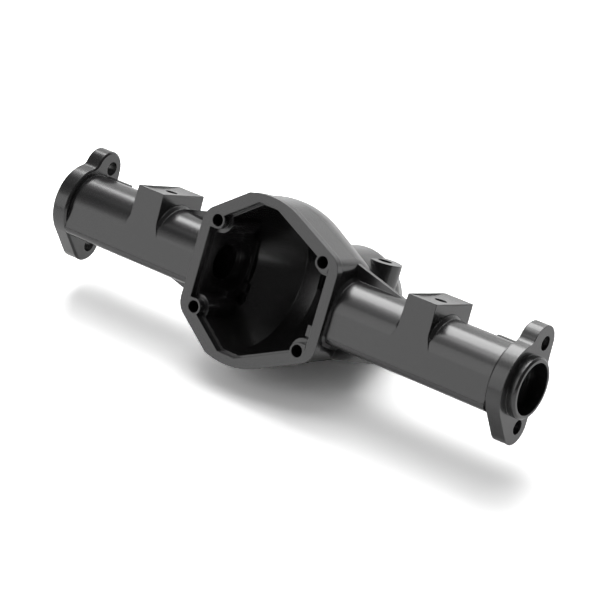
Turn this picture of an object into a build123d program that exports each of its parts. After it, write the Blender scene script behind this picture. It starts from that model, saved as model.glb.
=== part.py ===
from build123d import *
import os
from math import acos, atan2, cos, radians, sin, sqrt

# Rear axle housing of a radio-controlled crawler, moulded in one piece of glass-filled nylon.
# Millimetres. The axle runs along X, the cover opening faces -Y, the pinion nose points to +Y.
# The origin lies on the axle axis, midway between the two end flanges.

# Overall length, over the outer faces of the two end flanges
axle_length = 116.0

# Axle tubes: round above, boxed below, with a crowned underside
tube_radius = 7.15
tube_box_half_width = 7.35
tube_box_top = 0.6
tube_box_corner = -5.7
tube_box_rounding = 1.5
tube_underside = -7.3
axle_passage = 8.0
bearing_bore = 11.0
bearing_seat_depth = 4.0

# End flanges, each with a bearing spigot and two screw ears
flange_thickness = 3.6
flange_chamfer = 0.4
collar_radius = 8.7
spigot_radius = 6.5
spigot_length = 1.9
spigot_chamfer = 0.4
ear_screw_bore = 3.1
ear_screw_spacing = 17.5
ear_screw_setback = 3.0
ear_lean = 0.42
ear_radius = 4.1
ear_arc_forward = 0.7
ear_arc_inward = 0.35
ear_blend = 2.0
upper_ear_root_radius = 4.5
lower_ear_root_radius = 7.0
ear_rib_length = 6.5
ear_rib_top = 7.0

# Link blocks on top of the tubes
link_spacing = 69.9
link_block_length = 6.8
link_block_flare = 0.2
link_block_top = 9.9
link_foot_height = 2.6
link_foot_reach = 0.9
link_foot_rounding = 2.5
link_saddle_depth = 0.35
link_screw_bore = 2.6
link_screw_depth = 5.0

# Differential casing: a dome turned about the axle axis, with a sloping shoulder each side
casing_left = -19.0
casing_right = 15.3
casing_rounding = 3.0
root_collar = 0.7
dome_center = -4.6
dome_radius = 17.8
right_shoulder_slope = 25.6
right_shoulder_cut = 0.0
left_shoulder_slope = 36.0
left_shoulder_cut = 1.0
dome_wall = 1.6
shoulder_wall = 2.3
end_wall = 2.0

# Cover opening on the -Y side, with its flange and four screw bosses
cover_face = 8.85
cover_flange_thickness = 1.9
cover_flange_lip = 0.35
cover_corner_radius = 4.2
cover_seat_depth = 1.8
cover_seat_step = 0.5
cover_bolt_center = -2.06
cover_bolt_span_x = 27.1
cover_bolt_span_z = 18.9
cover_screw_bore = 2.6
cover_screw_depth = 7.5
cover_boss_wall = 0.45
cover_boss_step = 0.9
cover_boss_depth = 12.0

# Carrier bearing saddles inside the casing, and the upright stop rib behind the left one
saddle_radius = 8.0
left_saddle_face = -14.2
right_saddle_face = 7.0
carrier_bearing_bore = 11.0
rib_face = -13.8
rib_front = 5.8
rib_thickness = 0.8
rib_top = 6.6
rib_bottom = -3.1
knob_top = -3.8
knob_bottom = -5.8
knob_swell = 0.3
foot_top = -6.3

# Pinion nose on the +Y side
nose_center = 5.0
nose_root_radius = 10.4
nose_root = 5.0
nose_waist_radius = 10.9
nose_waist_start = 9.0
nose_waist_end = 18.5
nose_end_radius = 9.0
nose_end = 23.4
nose_rounding = 5.0
nose_chamfer = 0.9
pinion_bore = 11.0
pinion_seat_depth = 4.0
pinion_passage = 9.0

# Screw bosses for the truss, upright beside the nose
truss_boss_offset = 6.3
truss_boss_setback = 15.7
truss_boss_radius = 3.75
truss_boss_top = 9.9
truss_boss_bottom = -3.0
truss_screw_bore = 3.1
truss_screw_depth = 11.0

# Gusset webs between the casing's shoulders and the tubes
web_thickness = 1.1
web_root_height = 11.0
web_root_inset = 3.5
web_reach = 11.6

# Working values
flange_face = axle_length / 2
link_block_place = link_spacing / 2
right_shoulder_distance = dome_radius - right_shoulder_cut
left_shoulder_distance = dome_radius - left_shoulder_cut
lap = 1.0


def shoulder_line(angle, distance, end_x):
    """Ends of a sloping shoulder: on the dome's circle, and at the casing's end wall."""
    side = 1 if end_x > dome_center else -1
    half_chord = sqrt(dome_radius**2 - distance**2)
    foot_x = dome_center + side * distance * sin(radians(angle))
    foot_z = distance * cos(radians(angle))
    start = (foot_x - side * half_chord * cos(radians(angle)), foot_z + half_chord * sin(radians(angle)))
    drop = (end_x - foot_x) * side * sin(radians(angle)) / cos(radians(angle))
    return start, (end_x, foot_z - drop)


def casing_profile(rounding, lower_half):
    """Outline of the casing in the X-Z plane, down to the axis or mirrored below it, its end corners rounded."""
    left_start, left_end = shoulder_line(left_shoulder_slope, left_shoulder_distance, casing_left)
    right_start, right_end = shoulder_line(right_shoulder_slope, right_shoulder_distance, casing_right)
    with BuildSketch() as profile:
        with BuildLine():
            Line((casing_left, 0), left_end)
            Line(left_end, left_start)
            RadiusArc(left_start, right_start, dome_radius)
            Line(right_start, right_end)
            Line(right_end, (casing_right, 0))
            Line((casing_right, 0), (casing_left, 0))
        make_face()
        for corner in (Vertex(*left_end, 0), Vertex(*right_end, 0)):
            fillet(profile.vertices().sort_by_distance(corner)[0], rounding)
        if lower_half:
            mirror(about=Plane.XZ)
    return profile.sketch


def chamber_profile(shrink, lower_half):
    """Outline of the chamber inside the casing: parallel shoulders under a flat crown."""
    crown = dome_radius - dome_wall - shrink
    left = casing_left + end_wall + shrink
    right = casing_right - end_wall - shrink
    left_angle = radians(left_shoulder_slope)
    right_angle = radians(right_shoulder_slope)
    left_distance = left_shoulder_distance - shoulder_wall - shrink
    right_distance = right_shoulder_distance - shoulder_wall - shrink
    left_crown = dome_center + (crown * cos(left_angle) - left_distance) / sin(left_angle)
    right_crown = dome_center - (crown * cos(right_angle) - right_distance) / sin(right_angle)
    left_height = (left_distance + (left - dome_center) * sin(left_angle)) / cos(left_angle)
    right_height = (right_distance - (right - dome_center) * sin(right_angle)) / cos(right_angle)
    with BuildSketch() as profile:
        with BuildLine():
            Polyline(
                (left, 0),
                (left, left_height),
                (left_crown, crown),
                (right_crown, crown),
                (right, right_height),
                (right, 0),
                close=True,
            )
        make_face()
        if lower_half:
            mirror(about=Plane.XZ)
    return profile.sketch


def casing_body():
    """The dome behind, carried straight forward to the cover face, with the cover flange."""
    half_outline = casing_profile(casing_rounding, lower_half=False)
    outline = casing_profile(casing_rounding, lower_half=True)
    flange_outline = casing_profile(cover_corner_radius - cover_flange_lip, lower_half=True)
    with BuildPart() as body:
        with BuildSketch(Plane.XZ):
            add(half_outline)
        revolve(axis=Axis.X)
        with BuildSketch(Plane.XZ):
            add(outline)
        extrude(amount=cover_face)
        split(bisect_by=Plane.XZ.offset(cover_face), keep=Keep.BOTTOM)
        with BuildSketch(Plane.XZ.offset(cover_face)):
            add(flange_outline)
            offset(amount=cover_flange_lip)
        extrude(amount=-cover_flange_thickness)
    return body.part


def tube_section():
    """Section of an axle tube in the Y-Z plane."""
    with BuildSketch() as section:
        with BuildLine():
            ThreePointArc((-tube_box_half_width, tube_box_top), (0, tube_radius), (tube_box_half_width, tube_box_top))
            Line((tube_box_half_width, tube_box_top), (tube_box_half_width, tube_box_corner))
            ThreePointArc((tube_box_half_width, tube_box_corner), (0, tube_underside),
                          (-tube_box_half_width, tube_box_corner))
            Line((-tube_box_half_width, tube_box_corner), (-tube_box_half_width, tube_box_top))
        make_face()
        fillet(section.vertices().group_by(Axis.Y)[0], tube_box_rounding)
    return section.sketch


def ear_arc_center(level):
    """Centre of an ear's round end, a little in front of its screw hole and nearer the axle."""
    arc_y = ear_screw_setback + level * ear_lean - ear_arc_forward
    arc_z = level * (ear_screw_spacing / 2 - ear_arc_inward)
    return arc_y, arc_z


def ear(level):
    """Screw ear above (level 1) or below (level -1) the collar: end circle, root circle and straight sides."""
    arc_y, arc_z = ear_arc_center(level)
    if level > 0:
        root_radius = upper_ear_root_radius
        root_y, root_z = arc_y - ear_radius + root_radius, 0
    else:
        # the root circle lies against the inside of the collar, so the ear's front edge is tangent to it
        root_radius = lower_ear_root_radius
        tangent = atan2(arc_z, arc_y) - acos((collar_radius - ear_radius) / sqrt(arc_y**2 + arc_z**2))
        root_y = (collar_radius - root_radius) * cos(tangent)
        root_z = (collar_radius - root_radius) * sin(tangent)
    rise_y = arc_y - root_y
    rise_z = arc_z - root_z
    middle = atan2(rise_z, rise_y)
    spread = acos((root_radius - ear_radius) / sqrt(rise_y**2 + rise_z**2))
    sides = []
    for y, z, radius, turns in ((arc_y, arc_z, ear_radius, (-1, 1)), (root_y, root_z, root_radius, (1, -1))):
        for turn in turns:
            angle = middle + turn * spread
            sides.append((y + radius * cos(angle), z + radius * sin(angle)))
    with BuildSketch() as shape:
        with Locations((arc_y, arc_z)):
            Circle(ear_radius)
        with Locations((root_y, root_z)):
            Circle(root_radius)
        Polygon(sides, align=None)
    return shape.sketch


def end_flange():
    """Flange, spigot, tube and the low rib behind the upper ear, solid before their bores."""
    upper_front = ear_arc_center(1)[0] - ear_radius
    notch = Vertex(upper_front, sqrt(collar_radius**2 - upper_front**2), 0)
    upper_ear = ear(1)
    lower_ear = ear(-1)
    tube = tube_section()
    with BuildPart() as end:
        with BuildSketch(Plane.YZ.offset(flange_face - flange_thickness)) as outline:
            Circle(collar_radius)
            add(upper_ear)
            add(lower_ear)
            fillet(outline.vertices().sort_by_distance(notch)[0], ear_blend)
        extrude(amount=flange_thickness)
        chamfer(end.edges().group_by(Axis.X)[0], flange_chamfer)
        with BuildSketch(Plane.YZ.offset(flange_face)):
            Circle(spigot_radius)
        extrude(amount=spigot_length)
        chamfer(end.edges().group_by(Axis.X)[-1], spigot_chamfer)
        with BuildSketch(Plane.YZ):
            add(tube)
        extrude(amount=flange_face - flange_thickness)
        with BuildSketch(Plane.XY):
            with Locations((flange_face - flange_thickness, ear_screw_setback)):
                Rectangle(ear_rib_length, web_thickness, align=(Align.MAX, Align.CENTER))
        extrude(amount=ear_rib_top)
    return end.part


def link_block():
    """Right-hand link block, from its saddle top down into the tube, on a foot that spreads along it."""
    half_length = link_block_length / 2
    left = link_block_place - half_length
    right = link_block_place + half_length
    with BuildPart() as block:
        with BuildSketch(Plane.XZ) as profile:
            with BuildLine():
                Polyline(
                    (left, link_block_top),
                    (right, link_block_top),
                    (right + link_block_flare, tube_box_top + link_foot_height),
                    (right + link_block_flare + link_foot_reach, tube_box_top),
                    (left - link_block_flare - link_foot_reach, tube_box_top),
                    (left - link_block_flare, tube_box_top + link_foot_height),
                    close=True,
                )
            make_face()
            fillet(profile.vertices().group_by(Axis.Y)[1], link_foot_rounding)
        extrude(amount=tube_box_half_width, both=True)
        with BuildSketch(Plane.YZ.offset(left)):
            with BuildLine():
                ThreePointArc(
                    (-tube_box_half_width, link_block_top),
                    (0, link_block_top - link_saddle_depth),
                    (tube_box_half_width, link_block_top),
                )
                Line((tube_box_half_width, link_block_top), (-tube_box_half_width, link_block_top))
            make_face()
        extrude(amount=link_block_length, mode=Mode.SUBTRACT)
    return block.part


def pinion_nose():
    """Barrel-shaped nose round the pinion shaft, widest at its waist, and the two truss bosses beside it."""
    axis = Axis((nose_center, 0, 0), (0, 1, 0))
    with BuildPart() as nose:
        with BuildSketch(Plane.XY) as half_section:
            with BuildLine():
                Polyline(
                    (nose_center, nose_root),
                    (nose_center + nose_root_radius, nose_root),
                    (nose_center + nose_waist_radius, nose_waist_start),
                    (nose_center + nose_waist_radius, nose_waist_end),
                    (nose_center + nose_end_radius, nose_end),
                    (nose_center, nose_end),
                    close=True,
                )
            make_face()
            fillet(half_section.vertices().group_by(Axis.X)[-1], nose_rounding)
        revolve(axis=axis)
        chamfer(nose.edges().group_by(Axis.Y)[-1], nose_chamfer)
        with BuildSketch(Plane.XY.offset(truss_boss_bottom)):
            with Locations((nose_center, truss_boss_setback)):
                with GridLocations(2 * truss_boss_offset, 1, 2, 1):
                    Circle(truss_boss_radius)
        extrude(amount=truss_boss_top - truss_boss_bottom)
    return nose.part


def root_collars():
    """Narrow sloping collars where the tubes leave the casing and the link blocks' inner and outer sides."""
    tube = tube_section()
    block_right = link_block_place + link_block_length / 2 + link_block_flare
    block_left = link_block_place - link_block_length / 2 - link_block_flare
    with BuildSketch() as wide_tube:
        add(tube)
        offset(amount=root_collar, kind=Kind.INTERSECTION)
    with BuildSketch() as block_tube:
        add(wide_tube.sketch)
        with Locations((0, tube_box_top)):
            Rectangle(2 * tube_box_half_width, link_block_top, align=(Align.CENTER, Align.MIN), mode=Mode.INTERSECT)
    with BuildPart() as collars:
        for wall_x, side in ((casing_right, 1), (casing_left, -1)):
            with BuildSketch(Plane.YZ.offset(wall_x)):
                add(wide_tube.sketch)
            extrude(amount=side * root_collar, taper=45)
        for wall_x, side in ((block_right, 1), (block_left, -1), (-block_left, 1), (-block_right, -1)):
            with BuildSketch(Plane.YZ.offset(wall_x)):
                add(block_tube.sketch)
            extrude(amount=side * root_collar, taper=45)
    return collars.part


def webs():
    """Thin gusset webs from the casing's shoulders to the tubes, above and below."""
    with BuildPart() as gussets:
        with BuildSketch(Plane.XZ):
            for wall_x, side in ((casing_right, 1), (casing_left, -1)):
                with BuildLine():
                    Polyline(
                        (wall_x - side * web_root_inset, web_root_height),
                        (wall_x + side * web_reach, tube_radius),
                        (wall_x + side * web_reach, tube_radius - lap),
                        (wall_x - side * web_root_inset, tube_radius - lap),
                        close=True,
                    )
                make_face()
            mirror(about=Plane.XZ)
        extrude(amount=web_thickness / 2, both=True)
    return gussets.part


def cover_bosses(radius):
    """Section of the four cover screw bosses: round towards the opening, straight towards the wall."""
    with BuildSketch() as section:
        for side in (-1, 1):
            for level in (-1, 1):
                with Locations((cover_bolt_center + side * cover_bolt_span_x / 2, level * cover_bolt_span_z / 2)):
                    Circle(radius)
                    Rectangle(radius, 2 * radius, align=(Align.MIN if side > 0 else Align.MAX, Align.CENTER))
    return section.sketch


def stop_rib():
    """Thin upright rib on the left end wall, clear of the bearing, with a knob and a stouter foot."""
    wall = casing_left + end_wall - lap
    with BuildPart() as rib:
        for top, bottom, swell in (
            (rib_top, rib_bottom, 0),
            (knob_top, knob_bottom, knob_swell),
            (foot_top, -saddle_radius, knob_swell / 2),
        ):
            with BuildSketch(Plane.XY.offset(bottom)):
                with Locations((wall, rib_front - swell)):
                    Rectangle(rib_face + swell - wall, rib_thickness + 2 * swell, align=Align.MIN)
            extrude(amount=top - bottom)
    return rib.part


def chamber():
    """Space inside the casing, less the screw bosses, the two carrier bearing saddles and the stop rib."""
    half_outline = chamber_profile(cover_seat_step, lower_half=False)
    outline = chamber_profile(cover_seat_step, lower_half=True)
    mouth = chamber_profile(0, lower_half=True)
    slim_bosses = cover_bosses(cover_screw_bore / 2 + cover_boss_wall)
    stout_bosses = cover_bosses(cover_screw_bore / 2 + cover_boss_wall + cover_boss_step)
    rib = stop_rib()
    with BuildPart() as space:
        with BuildSketch(Plane.XZ):
            add(half_outline)
        revolve(axis=Axis.X)
        split(bisect_by=Plane.XZ, keep=Keep.BOTTOM)
        with BuildSketch(Plane.XZ):
            add(outline)
        extrude(amount=cover_face)
        with BuildSketch(Plane.XZ.offset(cover_face)):
            add(stout_bosses)
        extrude(amount=-cover_boss_depth, mode=Mode.SUBTRACT)
        with BuildSketch(Plane.XZ.offset(cover_face - cover_seat_depth)):
            add(mouth)
            add(slim_bosses, mode=Mode.SUBTRACT)
        extrude(amount=cover_seat_depth)
        for wall_x, face_x in ((casing_left, left_saddle_face), (casing_right, right_saddle_face)):
            with BuildSketch(Plane.YZ.offset(wall_x)):
                Circle(saddle_radius)
                Rectangle(2 * saddle_radius, 2 * saddle_radius, align=(Align.MAX, Align.CENTER), mode=Mode.SUBTRACT)
            extrude(amount=face_x - wall_x, mode=Mode.SUBTRACT)
        add(rib, mode=Mode.SUBTRACT)
    return space.part


def bores():
    """Everything bored or drilled: the axle, the pinion shaft and the screw holes."""
    with BuildPart() as holes:
        with BuildSketch(Plane.YZ):
            Circle(axle_passage / 2)
        extrude(amount=flange_face + spigot_length, both=True)
        for side in (-1, 1):
            with BuildSketch(Plane.YZ.offset(side * (flange_face + spigot_length))):
                Circle(bearing_bore / 2)
            extrude(amount=-side * bearing_seat_depth)
            with BuildSketch(Plane.YZ.offset(side * flange_face)):
                for level in (-1, 1):
                    with Locations((ear_screw_setback + level * ear_lean, level * ear_screw_spacing / 2)):
                        Circle(ear_screw_bore / 2)
            extrude(amount=-side * flange_thickness)
        with BuildSketch(Plane.YZ.offset(casing_left + end_wall)):
            Circle(carrier_bearing_bore / 2)
        extrude(amount=casing_right - casing_left - 2 * end_wall)
        with BuildSketch(Plane.XY.offset(link_block_top)):
            with GridLocations(link_spacing, 1, 2, 1):
                Circle(link_screw_bore / 2)
        extrude(amount=-link_saddle_depth - link_screw_depth)
        with BuildSketch(Plane.XZ.offset(cover_face)):
            with Locations((cover_bolt_center, 0)):
                with GridLocations(cover_bolt_span_x, cover_bolt_span_z, 2, 2):
                    Circle(cover_screw_bore / 2)
        extrude(amount=-cover_screw_depth)
        with BuildSketch(Plane.XZ):
            with Locations((nose_center, 0)):
                Circle(pinion_passage / 2)
        extrude(amount=-nose_end)
        with BuildSketch(Plane.XZ.offset(-nose_end)):
            with Locations((nose_center, 0)):
                Circle(pinion_bore / 2)
        extrude(amount=pinion_seat_depth)
        with BuildSketch(Plane.XY.offset(truss_boss_top)):
            with Locations((nose_center, truss_boss_setback)):
                with GridLocations(2 * truss_boss_offset, 1, 2, 1):
                    Circle(truss_screw_bore / 2)
        extrude(amount=-truss_screw_depth)
    return holes.part


right_end = end_flange()
right_block = link_block()
gussets = webs()
collars = root_collars()
nose = pinion_nose()
casing = casing_body()
casing_space = chamber()
drilling = bores()

with BuildPart() as axle_housing:
    add(right_end)
    add(right_block)
    mirror(about=Plane.YZ)
    add(gussets)
    add(collars)
    add(nose)
    add(casing)
    add(casing_space, mode=Mode.SUBTRACT)
    add(drilling, mode=Mode.SUBTRACT)

os.makedirs("parts", exist_ok=True)
axle_housing.part.label = "axle_housing"
export_step(axle_housing.part, "parts/axle_housing.step")
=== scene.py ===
from math import cos, pi, radians, sin

import bpy
from mathutils import Matrix, Vector

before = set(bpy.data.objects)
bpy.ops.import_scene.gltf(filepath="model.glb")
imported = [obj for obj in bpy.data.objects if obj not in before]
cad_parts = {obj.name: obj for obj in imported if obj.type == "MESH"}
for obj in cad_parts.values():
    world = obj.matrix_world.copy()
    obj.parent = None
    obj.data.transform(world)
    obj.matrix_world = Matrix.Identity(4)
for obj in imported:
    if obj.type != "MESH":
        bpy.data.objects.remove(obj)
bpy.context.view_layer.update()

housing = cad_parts["axle_housing"]

# Camera, found from the photograph's vanishing lines, in metres in the part's frame
CAMERA_PLACE = Vector((0.25357, -0.40997, 0.08857))
CAMERA_RIGHT = Vector((0.79275, 0.54395, 0.27506))
CAMERA_UP = Vector((-0.33096, 0.00516, 0.94363))
CAMERA_CLIP = 0.01
FOCAL_LENGTH = 142.07
SENSOR_WIDTH = 36.0

# Table: the housing lies rolled forward on it, so its upward direction leans in the part's frame
TABLE_UP = Vector((0.0, -0.451, 0.892)).normalized()
TABLE_SIZE = 3.0
TABLE_COLOUR = (0.9, 0.9, 0.9, 1)
TABLE_COLOUR_TO_CAMERA = (1.9, 1.9, 1.9, 1)

# The camera sees the table fade into the white surroundings between these distances from the origin
TABLE_CLEAR_FROM = 0.25
TABLE_CLEAR_TO = 0.45

# Softboxes, aimed at the housing from one distance: azimuth, elevation, width, height and radiance
SOFTBOX_DISTANCE = 0.7
SOFTBOXES = {
    "overhead": (174, 52, 0.48, 0.36, 4.8),
    "top": (180, 78, 0.52, 0.40, 2.1),
    "back_right": (150, 25, 0.34, 0.34, 1.5),
    "left_low": (-75, 15, 0.62, 0.34, 1.0),
    "left_high": (-63, 42, 0.42, 0.34, 1.15),
    "left_top": (-95, 68, 0.40, 0.34, 0.5),
}

# World as light: a pale studio wall behind the housing, and a dark room on the other sides
WALL_AZIMUTH = 172
WALL_ELEVATION = 5
WALL_LIGHT = 0.82
ROOM_LIGHT = 0.07

# The room turns into the wall between these cosines of the angle to the wall's middle
WALL_BEGINS = 0.5
WALL_IS_FULL = 0.8

# World as background
BACKGROUND_WHITE = 1.0

# Black nylon: gloss of its body, and of the resin-rich skin over it
NYLON_IOR = 1.55
NYLON_SPECULAR = 0.87
SKIN_WEIGHT = 0.25
SKIN_ROUGHNESS = 0.15

# Clouds in the nylon: noise scale per metre, places on the colour ramp with their colours, and roughness
CLOUD_SCALE = 55.0
CLOUD_DETAIL = 3.0
DARK_CLOUD = (0.3, (0.0115, 0.0113, 0.0117, 1))
LIGHT_CLOUD = (0.75, (0.0190, 0.0186, 0.0191, 1))
SMOOTH_ROUGHNESS = 0.21
ROUGH_ROUGHNESS = 0.27

# Spark-eroded grain: noise scale per metre, and height in metres
GRAIN_SCALE = 2600.0
GRAIN_DETAIL = 2.0
GRAIN_STRENGTH = 0.25
GRAIN_HEIGHT = 0.00002

# Edges: rounded by this radius in metres, and smoother where they turn, with a little lighter colour
# there as a painted highlight
EDGE_RADIUS = 0.0002
EDGE_SAMPLES = 6
EDGE_HIGHLIGHT_COLOUR = (0.032, 0.0315, 0.032, 1)
EDGE_ROUGHNESS = 0.16

# Cosine of the angle between the rounded normal and the face's own: full edge smoothness and painted
# highlight below, none above
EDGE_FULL_BELOW = 0.80
EDGE_NONE_ABOVE = 0.98


def studio_direction(azimuth, elevation):
    """Direction over the table, in degrees: azimuth 0 is the camera's side and 90 is to its right."""
    toward_camera = CAMERA_RIGHT.cross(TABLE_UP)
    level = cos(radians(azimuth)) * toward_camera + sin(radians(azimuth)) * CAMERA_RIGHT
    return cos(radians(elevation)) * level + sin(radians(elevation)) * TABLE_UP


def add_object(name, data, turn, place):
    """A scene object of the given data, turned and then moved to its place."""
    added = bpy.data.objects.new(name, data)
    bpy.context.scene.collection.objects.link(added)
    added.matrix_world = Matrix.Translation(place) @ turn
    return added


def axes_to_turn(across, upright, toward):
    """Rotation that lays an object's own axes along three directions."""
    return Matrix((across, upright, toward)).transposed().to_4x4()


def new_material(name):
    """A node material with its nodes cleared: the material, its node tree and its surface socket."""
    material = bpy.data.materials.new(name)
    material.use_nodes = True
    tree = material.node_tree
    tree.nodes.clear()
    output = tree.nodes.new("ShaderNodeOutputMaterial")
    return material, tree, output.inputs["Surface"]


def feed(tree, source, socket):
    """Links a socket to another node's output, or sets it to a plain value."""
    if isinstance(source, bpy.types.NodeSocket):
        tree.links.new(source, socket)
    else:
        socket.default_value = source


def calculate(tree, node_type, operation, first, second=None):
    """Math or vector math node of one or two inputs: its Value output."""
    node = tree.nodes.new(node_type)
    node.operation = operation
    feed(tree, first, node.inputs[0])
    if second is not None:
        feed(tree, second, node.inputs[1])
    return node.outputs["Value"]


def mix(tree, data_type, factor, first, second):
    """Mix node of numbers or colours: its Result output."""
    node = tree.nodes.new("ShaderNodeMix")
    node.data_type = data_type
    feed(tree, factor, node.inputs["Factor"])
    feed(tree, first, node.inputs["A"])
    feed(tree, second, node.inputs["B"])
    return node.outputs["Result"]


def mix_shaders(tree, factor, first, second):
    """Mix Shader node: its Shader output."""
    node = tree.nodes.new("ShaderNodeMixShader")
    feed(tree, factor, node.inputs["Fac"])
    feed(tree, first, node.inputs[1])
    feed(tree, second, node.inputs[2])
    return node.outputs["Shader"]


def noise(tree, place, scale, detail):
    """Noise texture in object coordinates: its Fac output."""
    texture = tree.nodes.new("ShaderNodeTexNoise")
    texture.inputs["Scale"].default_value = scale
    texture.inputs["Detail"].default_value = detail
    feed(tree, place, texture.inputs["Vector"])
    return texture.outputs["Fac"]


def spread(tree, value, low, high, start=0.0, end=1.0):
    """Maps a value from the range start..end to the range low..high."""
    mapped = tree.nodes.new("ShaderNodeMapRange")
    mapped.inputs["From Min"].default_value = start
    mapped.inputs["From Max"].default_value = end
    mapped.inputs["To Min"].default_value = low
    mapped.inputs["To Max"].default_value = high
    feed(tree, value, mapped.inputs["Value"])
    return mapped.outputs["Result"]


def cloud_colour(tree, clouds):
    """The nylon's colour over its clouds."""
    ramp = tree.nodes.new("ShaderNodeValToRGB")
    for element, (position, colour) in zip(ramp.color_ramp.elements, (DARK_CLOUD, LIGHT_CLOUD)):
        element.position = position
        element.color = colour
    feed(tree, clouds, ramp.inputs["Fac"])
    return ramp.outputs["Color"]


def rounded_normal(tree):
    """Normal of the surface with its sharp edges rounded."""
    bevel = tree.nodes.new("ShaderNodeBevel")
    bevel.samples = EDGE_SAMPLES
    bevel.inputs["Radius"].default_value = EDGE_RADIUS
    return bevel.outputs["Normal"]


def edge_highlight_and_polish(tree, rounded):
    """1 on a sharp edge, where the rounded normal turns away from the surface's own, and 0 elsewhere:
    the mask of the painted edge highlight and of the smoother edge roughness.
    """
    own = tree.nodes.new("ShaderNodeNewGeometry").outputs["Normal"]
    agreement = calculate(tree, "ShaderNodeVectorMath", "DOT_PRODUCT", rounded, own)
    return spread(tree, agreement, 1.0, 0.0, EDGE_FULL_BELOW, EDGE_NONE_ABOVE)


def grain_normal(tree, place, rounded):
    """The rounded normal with the spark-eroded grain on it."""
    grain = tree.nodes.new("ShaderNodeBump")
    grain.inputs["Strength"].default_value = GRAIN_STRENGTH
    grain.inputs["Distance"].default_value = GRAIN_HEIGHT
    feed(tree, noise(tree, place, GRAIN_SCALE, GRAIN_DETAIL), grain.inputs["Height"])
    feed(tree, rounded, grain.inputs["Normal"])
    return grain.outputs["Normal"]


def nylon_material():
    """Black glass-filled nylon: satin and slightly cloudy, with a fine grain, and smoother edges with a
    painted highlight along them.
    """
    material, tree, surface = new_material("black_nylon")
    shader = tree.nodes.new("ShaderNodeBsdfPrincipled")
    shader.inputs["IOR"].default_value = NYLON_IOR
    shader.inputs["Specular IOR Level"].default_value = NYLON_SPECULAR
    shader.inputs["Coat Weight"].default_value = SKIN_WEIGHT
    shader.inputs["Coat Roughness"].default_value = SKIN_ROUGHNESS

    place = tree.nodes.new("ShaderNodeTexCoord").outputs["Object"]
    clouds = noise(tree, place, CLOUD_SCALE, CLOUD_DETAIL)
    rounded = rounded_normal(tree)
    highlight_and_polish = edge_highlight_and_polish(tree, rounded)

    # The lighter edge colour is a painted highlight along the edges; the smoother edge roughness is the
    # surface's own.
    colour = mix(tree, "RGBA", highlight_and_polish, cloud_colour(tree, clouds), EDGE_HIGHLIGHT_COLOUR)
    feed(tree, colour, shader.inputs["Base Color"])
    cloud_roughness = spread(tree, clouds, SMOOTH_ROUGHNESS, ROUGH_ROUGHNESS)
    roughness = mix(tree, "FLOAT", highlight_and_polish, cloud_roughness, EDGE_ROUGHNESS)
    feed(tree, roughness, shader.inputs["Roughness"])
    feed(tree, grain_normal(tree, place, rounded), shader.inputs["Normal"])
    feed(tree, shader.outputs["BSDF"], surface)
    return material


def table_material():
    """White table that keeps the shadow: clear from below, and to the camera also far away."""
    material, tree, surface = new_material("white_table")
    seen = tree.nodes.new("ShaderNodeLightPath").outputs["Is Camera Ray"]
    paint = tree.nodes.new("ShaderNodeBsdfDiffuse")
    colour = mix(tree, "RGBA", seen, TABLE_COLOUR, TABLE_COLOUR_TO_CAMERA)
    feed(tree, colour, paint.inputs["Color"])

    geometry = tree.nodes.new("ShaderNodeNewGeometry")
    distance = calculate(tree, "ShaderNodeVectorMath", "LENGTH", geometry.outputs["Position"])
    far = spread(tree, distance, 0.0, 1.0, TABLE_CLEAR_FROM, TABLE_CLEAR_TO)
    seen_far = calculate(tree, "ShaderNodeMath", "MULTIPLY", far, seen)
    hidden = calculate(tree, "ShaderNodeMath", "MAXIMUM", geometry.outputs["Backfacing"], seen_far)
    clear = tree.nodes.new("ShaderNodeBsdfTransparent")
    feed(tree, mix_shaders(tree, hidden, paint.outputs["BSDF"], clear.outputs["BSDF"]), surface)
    return material


def dress_housing():
    """The housing's finish."""
    nylon = nylon_material()
    for material_slot in housing.material_slots:
        material_slot.material = nylon


def add_table():
    """The table, square to its upward direction, under the housing's lowest point."""
    level = min(TABLE_UP.dot(vertex.co) for vertex in housing.data.vertices)
    half = TABLE_SIZE / 2
    corners = [(-half, -half, 0), (half, -half, 0), (half, half, 0), (-half, half, 0)]
    mesh = bpy.data.meshes.new("table")
    mesh.from_pydata(corners, [], [(0, 1, 2, 3)])
    mesh.materials.append(table_material())
    turn = Vector((0, 0, 1)).rotation_difference(TABLE_UP).to_matrix().to_4x4()
    add_object("table", mesh, turn, TABLE_UP * level)


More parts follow.
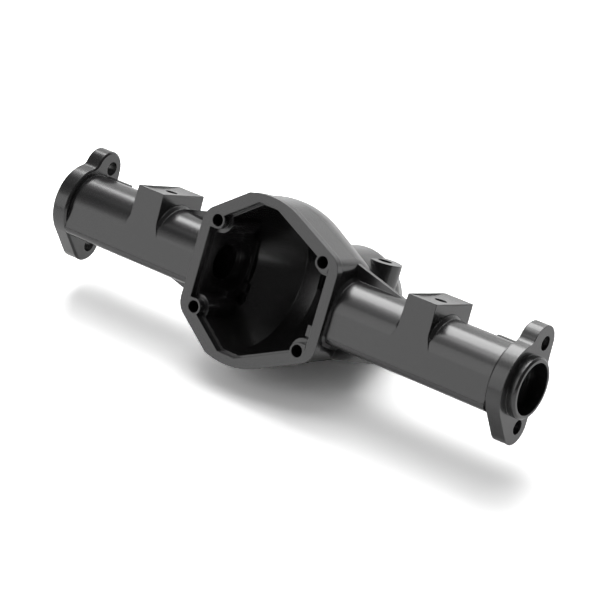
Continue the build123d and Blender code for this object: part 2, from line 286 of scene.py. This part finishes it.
def add_softbox(name, azimuth, elevation, width, height, radiance):
    """Area light of an even radiance, aimed at the housing from its direction over the table."""
    light = bpy.data.lights.new(name, "AREA")
    light.shape = "RECTANGLE"
    light.size = width
    light.size_y = height
    light.energy = radiance * pi * width * height
    toward_box = studio_direction(azimuth, elevation)
    across = TABLE_UP.cross(toward_box).normalized()
    turn = axes_to_turn(across, toward_box.cross(across), toward_box)
    add_object(name, light, turn, toward_box * SOFTBOX_DISTANCE)


def add_world():
    """White to the camera; as light, a pale wall behind the housing in a dark room."""
    world = bpy.data.worlds.new("studio")
    world.use_nodes = True
    tree = world.node_tree
    tree.nodes.clear()
    output = tree.nodes.new("ShaderNodeOutputWorld")
    background = tree.nodes.new("ShaderNodeBackground")
    background.inputs["Color"].default_value = (1, 1, 1, 1)

    direction = tree.nodes.new("ShaderNodeTexCoord").outputs["Generated"]
    toward_wall = studio_direction(WALL_AZIMUTH, WALL_ELEVATION)
    facing = calculate(tree, "ShaderNodeVectorMath", "DOT_PRODUCT", direction, toward_wall)
    light = spread(tree, facing, ROOM_LIGHT, WALL_LIGHT, WALL_BEGINS, WALL_IS_FULL)
    seen = tree.nodes.new("ShaderNodeLightPath").outputs["Is Camera Ray"]
    strength = mix(tree, "FLOAT", seen, light, BACKGROUND_WHITE)
    feed(tree, strength, background.inputs["Strength"])
    feed(tree, background.outputs["Background"], output.inputs["Surface"])
    bpy.context.scene.world = world


def add_camera():
    """Camera at the photograph's viewing angle."""
    camera_data = bpy.data.cameras.new("camera")
    camera_data.lens = FOCAL_LENGTH
    camera_data.sensor_width = SENSOR_WIDTH
    camera_data.clip_start = CAMERA_CLIP
    turn = axes_to_turn(CAMERA_RIGHT, CAMERA_UP, CAMERA_RIGHT.cross(CAMERA_UP))
    bpy.context.scene.camera = add_object("camera", camera_data, turn, CAMERA_PLACE)


dress_housing()
add_table()
for softbox_name, softbox in SOFTBOXES.items():
    add_softbox(softbox_name, *softbox)
add_world()
add_camera()
bpy.context.scene.view_settings.view_transform = "Standard"
